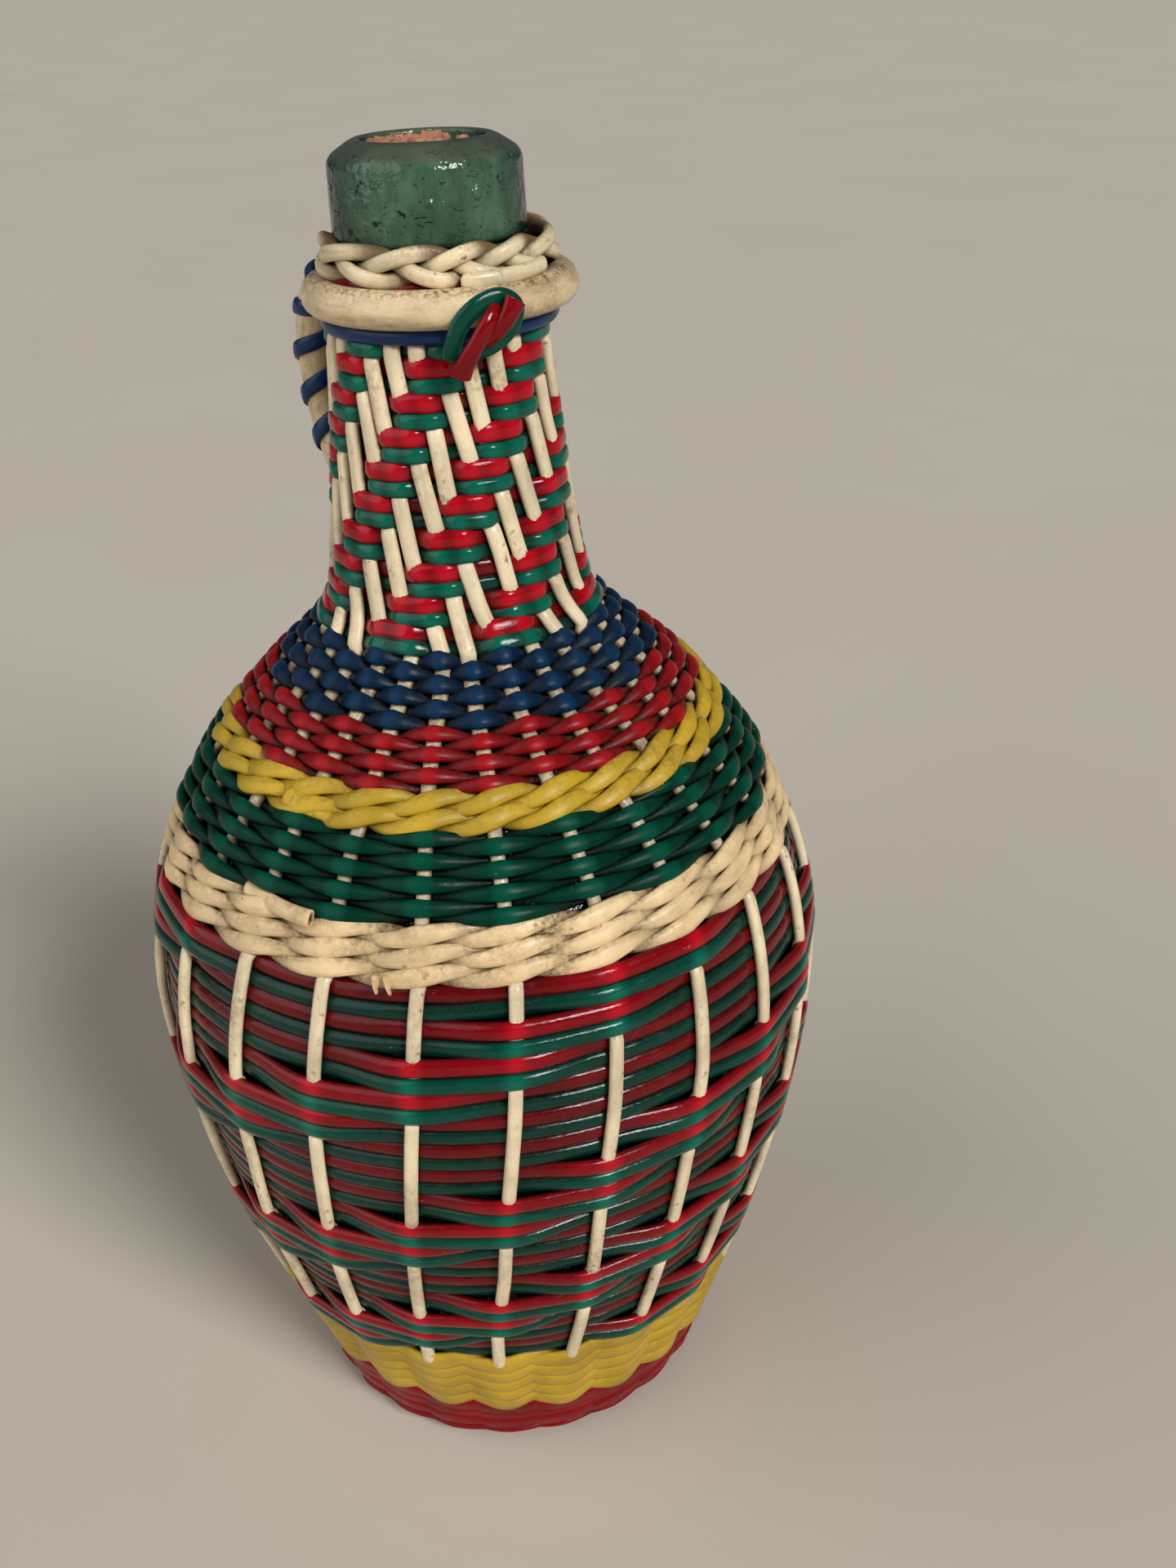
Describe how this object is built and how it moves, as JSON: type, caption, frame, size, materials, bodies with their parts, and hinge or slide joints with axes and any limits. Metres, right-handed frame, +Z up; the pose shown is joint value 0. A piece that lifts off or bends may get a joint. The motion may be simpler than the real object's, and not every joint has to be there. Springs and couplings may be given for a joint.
{
  "type": "cord-wrapped bottle",
  "caption": "Round-bellied glass bottle in a woven jacket of coloured plastic cord over upright cream stakes, with a cork, a plaited neck ring, a tube collar and a strap handle.",
  "frame": {"origin": "on the floor under the middle of the foot", "axes": "+Z up along the bottle's axis, -X towards the handle"},
  "size_m": [0.1664, 0.1666, 0.32],
  "materials": {
    "glass": "dark sea-green bottle glass, slightly frosted by handling",
    "cork": "raw cork, broken off at the top, with dark pores",
    "cream_cord": "semi-gloss plastic cord, dusty and scuffed",
    "cream_tube": "semi-gloss thick plastic tube with brown dirt on top",
    "red_cord": "semi-gloss plastic cord, scuffed",
    "green_cord": "semi-gloss plastic cord, scuffed",
    "blue_cord": "semi-gloss plastic cord, scuffed",
    "yellow_cord": "semi-gloss plastic cord, scuffed"
  },
  "bodies": {
    "wrapped_bottle": {"glass_bottle": "glass", "neck_plait_strand_1": "cream_cord", "neck_plait_strand_2": "cream_cord", "neck_plait_strand_3": "cream_cord", "shoulder_cream_twine": "cream_cord", "stake_01": "cream_cord", "stake_02": "cream_cord", "stake_03": "cream_cord", "stake_04": "cream_cord", "stake_05": "cream_cord", "stake_06": "cream_cord", "stake_07": "cream_cord", "stake_08": "cream_cord", "stake_09": "cream_cord", "stake_10": "cream_cord", "stake_11": "cream_cord", "stake_12": "cream_cord", "stake_13": "cream_cord", "stake_14": "cream_cord", "stake_15": "cream_cord", "stake_16": "cream_cord", "stake_17": "cream_cord", "stake_18": "cream_cord", "stake_19": "cream_cord", "stake_20": "cream_cord", "stake_21": "cream_cord", "stake_22": "cream_cord", "stake_23": "cream_cord", "collar_handle_tube": "cream_tube", "neck_red_cord": "red_cord", "knot_red_cord": "red_cord", "neck_red_weft": "red_cord", "shoulder_red_weft": "red_cord", "belly_red_weft": "red_cord", "foot_red_weft": "red_cord", "base_weave": "red_cord", "knot_green_cord": "green_cord", "neck_green_weft": "green_cord", "shoulder_green_weft": "green_cord", "belly_green_weft": "green_cord", "collar_blue_cord": "blue_cord", "handle_blue_lashing": "blue_cord", "shoulder_blue_weft": "blue_cord", "shoulder_yellow_twist": "yellow_cord", "foot_yellow_weft": "yellow_cord"},
    "cork": {"cork": "cork"}
  },
  "joints": [
    {"name": "cork_pull", "type": "slide", "parent": "wrapped_bottle", "child": "cork", "axis": [0, 0, 1], "range_m": [0, 0.03]}
  ]
}
